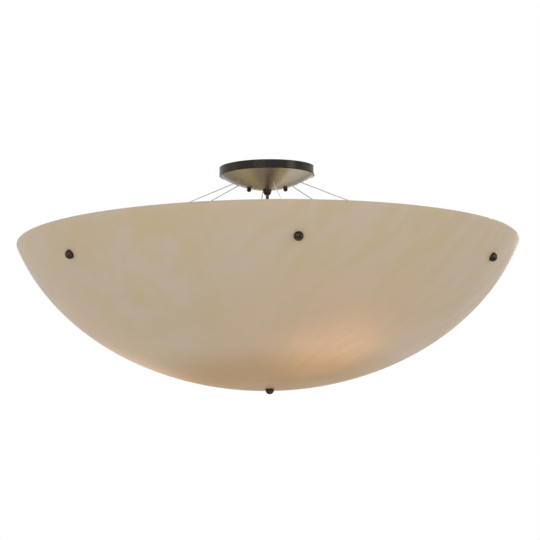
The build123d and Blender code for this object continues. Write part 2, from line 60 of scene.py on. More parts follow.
def add_node(tree, kind, inputs=None, **settings):
    """A shader node with its settings, and each input set to a value or linked from an output."""
    node = tree.nodes.new("ShaderNode" + kind)
    for name, value in settings.items():
        setattr(node, name, value)
    for name, value in (inputs or {}).items():
        if isinstance(value, bpy.types.NodeSocket):
            tree.links.new(value, node.inputs[name])
        else:
            node.inputs[name].default_value = value
    return node


def maths(tree, operation, first, second=0.0, third=0.0):
    """The result of one Math node."""
    return add_node(tree, "Math", {0: first, 1: second, 2: third}, operation=operation).outputs[0]


def on_object(tree):
    """The place on the object, in metres."""
    return add_node(tree, "TexCoord").outputs["Object"]


def stretch(tree, value, low, high, to_low=0.0, to_high=1.0):
    """A value mapped smoothly from one range to another and held at its ends."""
    inputs = {"Value": value, "From Min": low, "From Max": high, "To Min": to_low, "To Max": to_high}
    return add_node(tree, "MapRange", inputs, interpolation_type="SMOOTHSTEP").outputs[0]


def level_place(tree):
    """The place on the object, dropped on the level plane."""
    return add_node(tree, "VectorMath", {0: on_object(tree), 1: (1, 1, 0)}, operation="MULTIPLY").outputs[0]


def distance_from_axis(tree):
    """How far a place is from the light's upright axis, in metres."""
    return add_node(tree, "VectorMath", {0: level_place(tree)}, operation="LENGTH").outputs["Value"]


def seen_in_background(tree):
    """1 for a ray that shows the background: from the camera, in a reflection or through glass."""
    path = add_node(tree, "LightPath").outputs
    either = maths(tree, "MAXIMUM", path["Is Camera Ray"], path["Is Glossy Ray"])
    return maths(tree, "MAXIMUM", either, path["Is Transmission Ray"])


world = bpy.data.worlds.new("studio")
bpy.context.scene.world = world
world.use_nodes = True
world_tree = world.node_tree
lit = world_tree.nodes["Background"]
lit.inputs["Color"].default_value = (*world_colour, 1)
lit.inputs["Strength"].default_value = world_light
shown = add_node(world_tree, "Background", {"Color": (*white, 1), "Strength": 1.0})
both = add_node(
    world_tree, "MixShader", {0: seen_in_background(world_tree), 1: lit.outputs[0], 2: shown.outputs[0]}
)
world_tree.links.new(both.outputs[0], world_tree.nodes["World Output"].inputs["Surface"])

floor_mesh = bmesh.new()
bmesh.ops.create_grid(floor_mesh, x_segments=1, y_segments=1, size=floor_half_width)
bmesh.ops.translate(floor_mesh, verts=floor_mesh.verts, vec=(0, 0, floor_height))
floor_data = bpy.data.meshes.new("floor")
floor_mesh.to_mesh(floor_data)
floor_mesh.free()
floor = bpy.data.objects.new("floor", floor_data)
bpy.context.scene.collection.objects.link(floor)
floor_paint = bpy.data.materials.new("floor_paint")
floor_paint.use_nodes = True
floor_tree = floor_paint.node_tree
matt = add_node(floor_tree, "BsdfDiffuse", {"Color": (*floor_colour, 1)})
paper = add_node(floor_tree, "Emission", {"Color": (*white, 1), "Strength": 1.0})
fade = stretch(floor_tree, distance_from_axis(floor_tree), *fade_reach, *paper_share)
fade = maths(floor_tree, "MULTIPLY", fade, seen_in_background(floor_tree))
upper = add_node(floor_tree, "MixShader", {0: fade, 1: matt.outputs[0], 2: paper.outputs[0]})
clear = add_node(floor_tree, "BsdfTransparent")
under = add_node(floor_tree, "NewGeometry").outputs["Backfacing"]
one_sided = add_node(floor_tree, "MixShader", {0: under, 1: upper.outputs[0], 2: clear.outputs[0]})
floor_tree.links.new(one_sided.outputs[0], floor_tree.nodes["Material Output"].inputs["Surface"])
floor_data.materials.append(floor_paint)


def soft_lamp(name, place, size, power):
    """A square softbox that faces the bowl."""
    light = bpy.data.lights.new(name, "AREA")
    light.size = size
    light.energy = power
    lamp = bpy.data.objects.new(name, light)
    lamp.location = place
    lamp.rotation_euler = (bowl_middle - Vector(place)).to_track_quat("-Z", "Y").to_euler()
    bpy.context.scene.collection.objects.link(lamp)


soft_lamp("front_softbox", place=(-1.6, -5.2, -0.9), size=2.6, power=46)
soft_lamp("right_softbox", place=(4.6, -2.6, 0.4), size=1.8, power=30)
soft_lamp("left_softbox", place=(-4.6, -0.6, -0.2), size=1.8, power=8)
soft_lamp("back_softbox", place=(1.2, 4.8, 1.2), size=2.2, power=70)


# The camera: a long lens that looks up at the bowl from the viewer's side, rolled a little, as
# the light hangs a little out of true in the picture.
camera_place = (0, -7.7815, -1.42)
camera_pitch = 8.534
camera_turn = 0.031
camera_roll = 0.71
lens_length = 215.96
film_width = 36.0
camera = bpy.data.objects.new("camera", bpy.data.cameras.new("camera"))
camera.data.lens = lens_length
camera.data.sensor_width = film_width
camera.matrix_world = (
    Matrix.Translation(camera_place)
    @ Matrix.Rotation(radians(-camera_turn), 4, "Z")
    @ Matrix.Rotation(radians(90 + camera_pitch), 4, "X")
    @ Matrix.Rotation(radians(-camera_roll), 4, "Z")
)
bpy.context.scene.collection.objects.link(camera)
bpy.context.scene.camera = camera
bpy.context.scene.view_settings.view_transform = "Standard"


# Suspension cables: six lengths of 2.4 mm galvanised wire rope, six strands laid round a core,
# straight because each carries a sixth of the bowl. Swaged stops hold their upper ends in the ring.
cable_count = 6
stations = range(1, cable_count + 1)
first_cable_angle = -83.1
cable_foot = Vector((0.55723, 0, -0.24956))
cable_middle = Vector((0.29381, 0, -0.13361))
cable_head = Vector((0.03040, 0, -0.01766))
cable_diameter = 0.0024
strand_count = 6
strand_sides = 6
lay_length = 0.019
steps_in_lay = 10
core_sides = 8
core_share = 1.2
wire_grey = (0.66, 0.66, 0.65)
wire_dull = (0.56, 0.56, 0.55)
wire_bright = (0.74, 0.74, 0.73)
usual_clouds = (0.3, 0.7)


def shaded(name, colour, roughness, metallic=0.0, **sockets):
    """A material whose even qualities are set on its shader's own sockets."""
    material = bpy.data.materials.new(name)
    material.use_nodes = True
    shader = material.node_tree.nodes["Principled BSDF"]
    shader.inputs["Base Color"].default_value = (*colour, 1)
    shader.inputs["Roughness"].default_value = roughness
    shader.inputs["Metallic"].default_value = metallic
    for socket, value in sockets.items():
        shader.inputs[socket.replace("_", " ")].default_value = value
    return material, material.node_tree, shader


def mottled(tree, scale, detail=3.0, vector=None, distortion=0.0):
    """A cloudy 0 to 1 value from a noise of so many clouds a metre."""
    place = vector or on_object(tree)
    inputs = {"Vector": place, "Scale": scale, "Detail": detail, "Distortion": distortion}
    return add_node(tree, "TexNoise", inputs).outputs["Fac"]


def blend_colours(tree, share, first, second):
    """A colour between two, each a triple or an output."""
    mix = add_node(tree, "Mix", data_type="RGBA")
    for slot, value in ((6, first), (7, second)):
        if isinstance(value, bpy.types.NodeSocket):
            tree.links.new(value, mix.inputs[slot])
        else:
            mix.inputs[slot].default_value = (*value, 1)
    tree.links.new(share, mix.inputs[0])
    return mix.outputs[2]


def coloured_by(tree, shader, share, first, second):
    """A colour that follows a pattern from one to another."""
    tree.links.new(blend_colours(tree, share, first, second), shader.inputs["Base Color"])


def rough_by(tree, shader, share, low, high):
    """Roughness that follows a pattern between two values."""
    spread = stretch(tree, share, *usual_clouds, low, high)
    tree.links.new(spread, shader.inputs["Roughness"])


def raised_by(tree, shader, height, depth):
    """Small relief, as deep as given in metres."""
    bump = add_node(tree, "Bump", {"Height": height, "Distance": depth, "Strength": 1.0})
    tree.links.new(bump.outputs[0], shader.inputs["Normal"])


def wire_steel():
    """Galvanised wire: grey, a little dull in the grooves."""
    material, tree, shader = shaded("wire_steel", wire_grey, roughness=0.34, metallic=0.85)
    dull = mottled(tree, scale=900, detail=2)
    coloured_by(tree, shader, dull, wire_dull, wire_bright)
    rough_by(tree, shader, dull, low=0.28, high=0.42)
    return material


def new_piece(name, mesh, body, material, smooth_angle=35):
    """Makes a piece of a finished bmesh, rides it on its body and gives it its finish."""
    data = bpy.data.meshes.new(name)
    mesh.to_mesh(data)
    mesh.free()
    data.materials.append(material)
    piece = bpy.data.objects.new(name, data)
    bpy.context.scene.collection.objects.link(piece)
    data.shade_smooth()
    data.set_sharp_from_angle(angle=radians(smooth_angle))
    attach(piece, body)
    return piece


def smooth_line(name, controls):
    """The smooth open curve that a cord's controls make."""
    line = bpy.data.curves.new(name, "CURVE")
    line.dimensions = "3D"
    spline = line.splines.new("NURBS")
    spline.points.add(len(controls) - 1)
    for point, place in zip(spline.points, controls):
        point.co = (*place, 1)
    spline.order_u = 3
    spline.use_endpoint_u = True
    return line


def route_points(name, controls):
    """The points along a cord's smooth curve."""
    line = smooth_line(name, controls)
    line.splines[0].resolution_u = 8
    holder = bpy.data.objects.new(name, line)
    bpy.context.scene.collection.objects.link(holder)
    bpy.context.view_layer.update()
    mesh = bpy.data.meshes.new_from_object(holder.evaluated_get(bpy.context.evaluated_depsgraph_get()))
    points = [vertex.co.copy() for vertex in mesh.vertices]
    bpy.data.objects.remove(holder)
    return points


def aimed(place, direction):
    """The frame of a turned piece: its own Z runs along a direction from a place."""
    return Matrix.Translation(place) @ Vector(direction).to_track_quat("Z", "Y").to_matrix().to_4x4()


def laid_rope(length):
    """Strands laid round a core, upwards from the origin."""
    mesh = bmesh.new()
    strand_radius = cable_diameter / 6
    core_radius = strand_radius * core_share
    middle = Matrix.Translation((2 * strand_radius, 0, 0))
    bmesh.ops.create_circle(mesh, cap_ends=True, segments=strand_sides, radius=strand_radius, matrix=middle)
    steps = round(length / lay_length * steps_in_lay)
    bmesh.ops.spin(
        mesh,
        geom=[*mesh.verts, *mesh.edges, *mesh.faces],
        cent=(0, 0, 0),
        axis=(0, 0, 1),
        dvec=(0, 0, length / steps),
        angle=2 * pi * steps / steps_in_lay,
        steps=steps,
    )
    strand = [*mesh.verts, *mesh.edges, *mesh.faces]
    for number in range(1, strand_count):
        turn = Matrix.Rotation(2 * pi * number / strand_count, 3, "Z")
        copy = bmesh.ops.duplicate(mesh, geom=strand)["geom"]
        corners = [part for part in copy if isinstance(part, bmesh.types.BMVert)]
        bmesh.ops.rotate(mesh, cent=(0, 0, 0), matrix=turn, verts=corners)
    bmesh.ops.create_cone(
        mesh,
        cap_ends=True,
        segments=core_sides,
        radius1=core_radius,
        radius2=core_radius,
        depth=length,
        matrix=Matrix.Translation((0, 0, length / 2)),
    )
    bmesh.ops.recalc_face_normals(mesh, faces=mesh.faces)
    return mesh


cable_finish = wire_steel()
straight_rope = laid_rope((cable_foot - cable_head).length)
for number in stations:
    angle = first_cable_angle + 360 / cable_count * (number - 1)
    station = Matrix.Rotation(radians(angle), 4, "Z")
    controls = [station @ point for point in (cable_head, cable_middle, cable_foot)]
    route = route_points("cable_route", controls)
    strands = straight_rope.copy()
    bmesh.ops.transform(strands, matrix=aimed(route[0], route[-1] - route[0]), verts=strands.verts)
    cable = new_piece(f"wire_rope_{number}", strands, root, cable_finish, smooth_angle=60)
    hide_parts(f"suspension_cable_{number}")
straight_rope.free()


# Mounting plate and its rods, nuts and studs: zinc plated steel. The plate is stamped, and the
# rods that carry the cable ring are cut from threaded stock. The ring, the end stops, the clamps
# and the centre column are turned from aluminium.
zinc_grey = (0.62, 0.62, 0.60)
zinc_dull = (0.50, 0.50, 0.48)
zinc_bright = (0.68, 0.68, 0.66)
aluminium_grey = (0.68, 0.68, 0.67)
lathe_pitch = 0.0006


def zinc_plate():
    """Bright zinc plating with faint cloudy patches."""
    material, tree, shader = shaded("zinc_plate", zinc_grey, roughness=0.32, metallic=1.0)
    patches = mottled(tree, scale=60, detail=4)
    coloured_by(tree, shader, patches, zinc_dull, zinc_bright)
    rough_by(tree, shader, patches, low=0.24, high=0.42)
    raised_by(tree, shader, mottled(tree, scale=700, detail=2), depth=0.00004)
    return material


def turned_marks(tree, pitch):
    """A 0 to 1 value that changes outwards from the upright axis, as lathe marks do."""
    inputs = {"W": distance_from_axis(tree), "Scale": 1 / pitch, "Detail": 2.0}
    return add_node(tree, "TexNoise", inputs, noise_dimensions="1D").outputs["Fac"]


def turned_aluminium():
    """Aluminium as it leaves the lathe."""
    material, tree, shader = shaded("turned_aluminium", aluminium_grey, roughness=0.36, metallic=1.0)
    marks = turned_marks(tree, lathe_pitch)
    rough_by(tree, shader, marks, low=0.30, high=0.46)
    raised_by(tree, shader, marks, depth=0.00002)
    return material


def wear(material, *names):
    """Gives solids their finish."""
    for name in names:
        data = solids[name].data
        data.materials.clear()
        data.materials.append(material)


zinc = zinc_plate()
wear(zinc, "mounting_plate", "anchor_rods", "anchor_nuts", "stud_locknuts", "gland_locknut", "rod_nut")
wear(zinc, "clamp_screws", "canopy_studs", "knob_studs", "centre_rod")
wear(turned_aluminium(), "cable_anchor_ring", "cable_end_stops", "cable_clamps", "centre_column")


# Canopy: one sheet, spun to a shallow dish with an upright band. The dish is left as spun under a
# champagne lacquer, and the wedges of light its fine rings would throw are painted in as tints. The band
# is dark bronze, with a painted sheen that is lighter towards its sides. Each painted wedge is given by
# its share of the half turn from the right side, past the front, to the left.
dish_edge_radius = 0.1130
spinning_pitch = 0.0009
band_bronze = (0.024, 0.023, 0.020)
# painted sheen: the band is lighter towards its right and left sides, as reflected light
band_painted_sheen = (0.090, 0.076, 0.050)
band_sheen_reach = (0.22, 0.48)
# painted reflection: these tints stand in for light caught in the spun rings, and the silver one is a
# painted highlight
champagne_painted_dark = (0.25, 0.230, 0.195)
champagne_painted_grey = (0.39, 0.39, 0.365)
champagne_painted_olive = (0.55, 0.575, 0.430)
painted_silver_highlight = (0.88, 0.97, 1.0)
champagne_sheen = (0.55, 0.52, 0.46)
painted_reflection_tints = [
    (0.00, champagne_painted_grey),
    (0.20, painted_silver_highlight),
    (0.30, painted_silver_highlight),
    (0.38, champagne_painted_olive),
    (0.47, champagne_painted_dark),
    (0.55, champagne_painted_grey),
    (0.66, champagne_painted_olive),
    (1.00, champagne_painted_grey),
]


def painted_reflection_colour(tree, half_turn):
    """The painted reflection in the spun rings: a tint for each share of the half turn."""
    wedges = add_node(tree, "ValToRGB", {"Fac": half_turn})
    wedges.color_ramp.interpolation = "EASE"
    stops = wedges.color_ramp.elements
    for number, (share, tint) in enumerate(painted_reflection_tints):
        stop = stops[number] if number < 2 else stops.new(share)
        stop.position = share
        stop.color = (*tint, 1)
    return wedges.outputs["Color"]


def spun_champagne():
    """Spun metal: fine rings, painted wedges of reflected light round the axis, and the dark band above
    with a painted sheen.
    """
    material, tree, shader = shaded(
        "spun_champagne",
        champagne_painted_olive,
        roughness=0.36,
        metallic=0.6,
        Anisotropic=0.8,
        Anisotropic_Rotation=0.25,
        Specular_Tint=(*champagne_sheen, 1),
    )
    place = add_node(tree, "SeparateXYZ", {0: on_object(tree)}).outputs
    heading = maths(tree, "ARCTAN2", maths(tree, "ABSOLUTE", place["Y"]), place["X"])
    half_turn = maths(tree, "DIVIDE", heading, pi)
    # painted sheen on the band: lighter away from the front and back
    from_front = maths(tree, "ABSOLUTE", maths(tree, "SUBTRACT", half_turn, 0.5))
    band_with_painted_sheen = blend_colours(tree, stretch(tree, from_front, *band_sheen_reach), band_bronze, band_painted_sheen)
    band = maths(tree, "GREATER_THAN", distance_from_axis(tree), dish_edge_radius)
    # the dish takes the painted reflection tints, and the band takes its bronze with painted sheen
    coloured_by(tree, shader, band, painted_reflection_colour(tree, half_turn), band_with_painted_sheen)
    rings = turned_marks(tree, spinning_pitch)
    rough_by(tree, shader, rings, low=0.24, high=0.36)
    raised_by(tree, shader, rings, depth=0.00002)
    round_axis = add_node(tree, "Tangent", direction_type="RADIAL", axis="Z").outputs[0]
    tree.links.new(round_axis, shader.inputs["Tangent"])
    return material


wear(spun_champagne(), "canopy")


# Dark bronze trim: the ball nuts, the gland, the bowl's knobs and the finial, turned from brass
# and blackened, with the high spots rubbed a little brighter.
bronze_dark = (0.028, 0.021, 0.015)
bronze_rubbed = (0.110, 0.080, 0.055)
rubbed_clouds = (0.45, 0.75)


def blackened_bronze():
    """Oil-rubbed bronze: nearly black, with faint warm patches."""
    material, tree, shader = shaded("blackened_bronze", bronze_dark, roughness=0.34, metallic=0.9)
    patches = mottled(tree, scale=160, detail=4)
    coloured_by(tree, shader, stretch(tree, patches, *rubbed_clouds), bronze_dark, bronze_rubbed)
    rough_by(tree, shader, patches, low=0.26, high=0.44)
    raised_by(tree, shader, mottled(tree, scale=900, detail=2), depth=0.00003)
    return material


bronze = blackened_bronze()
wear(bronze, "canopy_nut_left", "canopy_nut_right", "gland_body", "gland_cap", "finial")
wear(bronze, *[f"bowl_knob_{station}" for station in stations])


# Rubber: the washers that keep metal off the bowl and the canopy, cut from black sheet. One lies
# under each nut, knob and clamp and under the finial, and all are dull with dust.
rubber_black = (0.03, 0.03, 0.029)
rubber_deep = (0.022, 0.022, 0.021)
rubber_dusty = (0.05, 0.05, 0.048)


def soft_rubber():
    """Black rubber with a dusty bloom."""
    material, tree, shader = shaded("soft_rubber", rubber_black, roughness=0.75)
    bloom = mottled(tree, scale=220, detail=3)
    coloured_by(tree, shader, bloom, rubber_deep, rubber_dusty)
    rough_by(tree, shader, bloom, low=0.62, high=0.85)
    return material


rubber = soft_rubber()
wear(rubber, "canopy_washer_left", "canopy_washer_right", "finial_washer", "inner_washers", "centre_washer")
wear(rubber, *[f"knob_washer_{station}" for station in stations])


# Power cord: one round black vinyl jacket, 7.8 mm thick, which hangs straight down from the gland
# to the bushing in the hub's lid. The bushing is moulded in black plastic.
cord_diameter = 0.0078
cord_heights = (-0.04356, -0.12, -0.24, -0.36, -0.4409)
cord_controls = [Vector((0, 0, height)) for height in cord_heights]
cord_black = (0.014, 0.014, 0.014)
bushing_black = (0.022, 0.022, 0.022)


def cord_jacket():
    """Black vinyl with a very fine grain."""
    material, tree, shader = shaded("cord_jacket", cord_black, roughness=0.42)
    grain = mottled(tree, scale=1400, detail=2)
    rough_by(tree, shader, grain, low=0.34, high=0.50)
    raised_by(tree, shader, grain, depth=0.00003)
    return material


cord_line = smooth_line("power_cord_line", cord_controls)
cord_line.bevel_depth = cord_diameter / 2
cord_line.bevel_resolution = 5
cord_line.use_fill_caps = True
cord_line.materials.append(cord_jacket())
cord = bpy.data.objects.new("cord", cord_line)
bpy.context.scene.collection.objects.link(cord)
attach(cord, root)
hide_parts("power_cord")


def moulded_plastic(name, colour, roughness):
    """Moulded plastic with a fine even texture."""
    material, tree, shader = shaded(name, colour, roughness)
    grain = mottled(tree, scale=1100, detail=2)
    rough_by(tree, shader, grain, low=roughness - 0.06, high=roughness + 0.08)
    raised_by(tree, shader, grain, depth=0.00002)
    return material


wear(moulded_plastic("bushing_plastic", bushing_black, roughness=0.45), "cord_bushing")


# Wiring: three insulated leads in the canopy, black, white and green, joined by twist-on
# connectors of orange plastic, and the leads from the hub to the sockets. A lead's colour is
# picked by which side of the axis it runs on.
lead_white = (0.72, 0.71, 0.68)
lead_green = (0.05, 0.30, 0.09)
lead_black = (0.02, 0.02, 0.02)
green_from = 0.0015
black_from = -0.003
connector_orange = (0.72, 0.19, 0.02)


def lead_insulation():
    """Three insulation colours, side by side."""
    material, tree, shader = shaded("lead_insulation", lead_white, roughness=0.38)
    side = add_node(tree, "SeparateXYZ", {0: on_object(tree)}).outputs["Y"]
    behind = maths(tree, "GREATER_THAN", side, green_from)
    in_front = maths(tree, "LESS_THAN", side, black_from)
    coloured_by(tree, shader, in_front, blend_colours(tree, behind, lead_white, lead_green), lead_black)
    raised_by(tree, shader, mottled(tree, scale=900, detail=2), depth=0.00002)
    return material


wear(lead_insulation(), "canopy_leads", "lamp_leads")
wear(moulded_plastic("connector_plastic", connector_orange, roughness=0.40), "wire_connectors")


# Bowl: cast resin poured to look like alabaster, 48 inches across and 8 mm thick, satin outside.
# The pour leaves soft clouds on one side and feathery streaks that climb the other, in pinkish
# and olive beige. The light of the three lamps through the floor is painted in as amber spots with
# a wide warm haze, and the bottom is painted darker and warmer, as shade and lamp glow.
curve_half_height = 0.5123
curve_half_width = 0.6423
curve_centre_height = -0.0306
bowl_rim_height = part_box("bowl")[1][2]
bowl_rim_radius = 0.6139
bowl_wall = 0.008
lip_width = 0.017
lip_inner_height = -0.2092
lip_outer_bevel = 0.0137
lip_outer_steps = 10
lip_inner_bevel = 0.0022
lip_inner_steps = 4
wall_steps = 44
bowl_sides = 192
touching = 1e-6
stone_mid = (0.515, 0.414, 0.294)
stone_pink = (0.524, 0.424, 0.328)
stone_olive = (0.504, 0.406, 0.264)
# painted shade and lamp glow: the bottom of the bowl is darker and warmer
stone_low_painted_shade_and_glow = (0.410, 0.262, 0.118)
stone_painted_lamp_warmth = (0.505, 0.388, 0.275)
olive_to_mid = (0.36, 0.54)
mid_to_pink = (0.46, 0.64)
painted_low_heights = (-0.465, -0.535)
clouds_to_streaks = (-0.22, 0.12)
streak_climb = 0.45
streak_wander = 0.35
streak_circle = 0.85
streak_stretch = 0.28
wander_scale = 2.6
streak_scale = 13
wisp_scale = 34
wisp_share = 0.25
cloud_scale = 10
puff_scale = 30
puff_share = 0.35
# painted glow: the spots and haze stand in for the lamps' light shining through the resin
spot_circle = 0.300
spot_height = -0.478
spot_angles = (-60.5, 59.5, 168)
spot_reach = 0.20
haze_reach = 0.42
haze_core = 0.05
painted_glow_colour = (1.0, 0.43, 0.11)
spot_strength = 0.18
haze_strength = 0.05
uneven_grain = (0.35, 0.65)
uneven_light = (0.80, 1.15)


def streak_flow(tree, height):
    """A place on the streaks, which lean over as they climb the wall and wander a little."""
    up = maths(tree, "DIVIDE", maths(tree, "SUBTRACT", height, curve_centre_height), curve_half_height)
    climb = maths(tree, "ARCSINE", up)
    wander = maths(tree, "SUBTRACT", mottled(tree, wander_scale, detail=2.0), 0.5)
    turn = maths(tree, "MULTIPLY_ADD", climb, -streak_climb, maths(tree, "MULTIPLY", wander, streak_wander))
    heading = add_node(tree, "VectorMath", {0: level_place(tree)}, operation="NORMALIZE").outputs[0]
    inputs = {"Vector": heading, "Angle": turn}
    turned = add_node(tree, "VectorRotate", inputs, rotation_type="Z_AXIS").outputs[0]
    inputs = {0: turned, "Scale": streak_circle}
    circle = add_node(tree, "VectorMath", inputs, operation="SCALE").outputs[0]
    along = add_node(tree, "CombineXYZ", {"Z": maths(tree, "MULTIPLY", climb, streak_stretch)}).outputs[0]
    return add_node(tree, "VectorMath", {0: circle, 1: along}, operation="ADD").outputs[0]


def stone_grain(tree, place, clouds):
    """A 0 to 1 pattern: clouds on the left side, feathery streaks on the right."""
    axes = add_node(tree, "SeparateXYZ", {0: place}).outputs
    flow = streak_flow(tree, axes["Z"])
    streaks = mottled(tree, streak_scale, detail=1.5, vector=flow, distortion=0.3)
    wisps = mottled(tree, wisp_scale, detail=1.5, vector=flow, distortion=0.2)
    puffs = mottled(tree, puff_scale, detail=2.0, vector=place, distortion=0.2)
    feather = maths(tree, "MULTIPLY", streaks, 1 - wisp_share)
    feather = maths(tree, "MULTIPLY_ADD", wisps, wisp_share, feather)
    cloudy = maths(tree, "MULTIPLY", clouds, 1 - puff_share)
    cloudy = maths(tree, "MULTIPLY_ADD", puffs, puff_share, cloudy)
    side = stretch(tree, axes["X"], *clouds_to_streaks)
    return maths(tree, "MULTIPLY_ADD", maths(tree, "SUBTRACT", feather, cloudy), side, cloudy)


def lamp_nearness(tree, place):
    """Two sums over the lamps: how near a place is to the painted spots of lamp light, and to their painted
    haze.
    """
    spot = 0.0
    haze = 0.0
    for angle in spot_angles:
        middle = (spot_circle * cos(radians(angle)), spot_circle * sin(radians(angle)), spot_height)
        away = add_node(tree, "VectorMath", {0: place, 1: middle}, operation="DISTANCE").outputs["Value"]
        spot = maths(tree, "ADD", stretch(tree, away, spot_reach, 0.0), spot)
        haze = maths(tree, "ADD", stretch(tree, away, haze_reach, haze_core), haze)
    return spot, haze


def alabaster():
    """Streaked, cloudy resin with painted warm lamp light near each lamp, and painted shade and glow low
    down.
    """
    material, tree, shader = shaded("alabaster", stone_mid, roughness=0.42, Specular_IOR_Level=0.2)
    place = on_object(tree)
    clouds = mottled(tree, cloud_scale, detail=2.0, vector=place, distortion=0.4)
    grain = stone_grain(tree, place, clouds)
    colour = blend_colours(tree, stretch(tree, grain, *olive_to_mid), stone_olive, stone_mid)
    colour = blend_colours(tree, stretch(tree, grain, *mid_to_pink), colour, stone_pink)
    spot, haze = lamp_nearness(tree, place)
    uneven = stretch(tree, grain, *uneven_grain, *uneven_light)
    # painted lamp light: the resin is warmer in the haze near each lamp
    colour = blend_colours(tree, maths(tree, "MULTIPLY", haze, uneven), colour, stone_painted_lamp_warmth)
    # painted shade and glow: darker and warmer towards the bottom
    height = add_node(tree, "SeparateXYZ", {0: place}).outputs["Z"]
    coloured_by(tree, shader, stretch(tree, height, *painted_low_heights), colour, stone_low_painted_shade_and_glow)
    # painted glow: emission in amber spots and haze near each lamp
    glow = maths(tree, "MULTIPLY_ADD", spot, spot_strength / haze_strength, haze)
    strength = maths(tree, "MULTIPLY", maths(tree, "MULTIPLY", glow, uneven), haze_strength)
    shader.inputs["Emission Color"].default_value = (*painted_glow_colour, 1)
    tree.links.new(strength, shader.inputs["Emission Strength"])
    rough_by(tree, shader, clouds, low=0.40, high=0.50)
    raised_by(tree, shader, grain, depth=0.00004)
    return material


def wall_curve(mesh, half_width, half_height, top):
    """One face of the wall, from the middle of the floor up to a height."""
    start = mesh.verts.new((0, 0, -half_height))
    sweep = pi / 2 - asin((curve_centre_height - top) / half_height)
    bmesh.ops.spin(mesh, geom=[start], cent=(0, 0, 0), axis=(0, -1, 0), angle=sweep, steps=wall_steps)
    mesh.verts.ensure_lookup_table()
    curve = mesh.verts[-wall_steps - 1:]
    bmesh.ops.scale(mesh, vec=(half_width / half_height, 1, 1), verts=curve)
    bmesh.ops.translate(mesh, vec=(0, 0, curve_centre_height), verts=curve)
    return curve


def round_corner(mesh, corner, length, segments):
    """Rounds one corner of a flat section, over a length of each side."""
    bmesh.ops.bevel(
        mesh, geom=[corner], affect="VERTICES", offset=length, segments=segments, profile=0.5, material=-1
    )


def spun_section(mesh, sides):
    """Turns a section's outline about the upright axis and closes its poles."""
    bmesh.ops.delete(mesh, geom=mesh.faces[:], context="FACES_ONLY")
    on_axis = [edge for edge in mesh.edges if all(corner.co.xy.length < touching for corner in edge.verts)]
    bmesh.ops.delete(mesh, geom=on_axis, context="EDGES")
    bmesh.ops.spin(
        mesh,
        geom=[*mesh.verts, *mesh.edges],
        cent=(0, 0, 0),
        axis=(0, 0, 1),
        angle=2 * pi,
        steps=sides,
        use_merge=True,
    )
    bmesh.ops.remove_doubles(mesh, verts=mesh.verts, dist=touching)
    bmesh.ops.recalc_face_normals(mesh, faces=mesh.faces)
    return mesh


bowl_section = bmesh.new()
inner_half_width = curve_half_width - bowl_wall
inner_half_height = curve_half_height - bowl_wall
outer_wall = wall_curve(bowl_section, curve_half_width, curve_half_height, bowl_rim_height)
inner_wall = wall_curve(bowl_section, inner_half_width, inner_half_height, lip_inner_height)
lip_corner = bowl_section.verts.new((bowl_rim_radius - lip_width, 0, bowl_rim_height))
bowl_section.faces.new([*outer_wall, lip_corner, *reversed(inner_wall)])
round_corner(bowl_section, outer_wall[-1], lip_outer_bevel, lip_outer_steps)
round_corner(bowl_section, lip_corner, lip_inner_bevel, lip_inner_steps)
bowl_shell = new_piece("bowl_shell", spun_section(bowl_section, bowl_sides), root, alabaster())
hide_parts("bowl")


# Lamp hub, its lid and the socket arms: steel in white enamel. Each arm is brazed into a grooved
# collar on the hub's wall, and two slotted screws, plated as the nuts are, hold the lid.
lamp_angles = (-58, 62, 182)
lamp_tilt = 20
lamp_origin = Vector((0, 0, -0.472643))
arm_radius = 0.00635
collar_radius = 0.0098
collar_start = 0.044
collar_end = 0.060
collar_sides = 40
grooved_length = 0.0035
groove_count = 2
first_groove = 0.0032
groove_step = 0.0014
groove_depth = 0.0007
ridge_drop = 0.0003
mouth_wall = 0.0012
lid_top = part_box("hub_lid")[1][2]
lid_screw_circle = 0.031
lid_screw_turn = 0.5
screw_sides = 24
screw_outline = [(0, 0), (0.0037, 0), (0.0037, 0.0009), (0.0031, 0.0018), (0.0018, 0.0023), (0, 0.0024)]
slot_half_width = 0.0005
slot_lean = 0.00012
slot_floor = 0.0012
enamel_white = (0.80, 0.79, 0.76)
enamel_cream = (0.77, 0.76, 0.72)
enamel_bright = (0.82, 0.81, 0.78)


def white_enamel():
    """White enamel with a slight orange peel."""
    material, tree, shader = shaded("white_enamel", enamel_white, roughness=0.28, Coat_Weight=0.3)
    coloured_by(tree, shader, mottled(tree, scale=30, detail=3), enamel_cream, enamel_bright)
    raised_by(tree, shader, mottled(tree, scale=420, detail=2), depth=0.00004)
    return material


enamel = white_enamel()
wear(enamel, "lamp_hub", "hub_lid", "socket_arms")


def lamp_axis(angle):
    """The direction of one lamp: outwards from the hub, tilted up."""
    tilt = radians(lamp_tilt)
    return Matrix.Rotation(radians(angle), 3, "Z") @ Vector((cos(tilt), 0, sin(tilt)))


def outline_section(corners):
    """A flat section through the axis, as a closed outline of radius and height."""
    mesh = bmesh.new()
    mesh.faces.new([mesh.verts.new((radius, 0, height)) for radius, height in corners])
    return mesh


def arm_collar():
    """The collar that a socket arm is brazed into, with grooves that step down to its mouth."""
    corners = [
        (arm_radius, collar_start),
        (collar_radius, collar_start),
        (collar_radius, collar_end - grooved_length),
    ]
    for groove in range(groove_count):
        height = collar_end - first_groove + groove * groove_step
        corners.append((collar_radius - groove_depth, height))
        corners.append((collar_radius - ridge_drop * (groove + 1), height + groove_step / 2))
    corners.append((arm_radius + mouth_wall, collar_end))
    corners.append((arm_radius, collar_end))
    return spun_section(outline_section(corners), collar_sides)


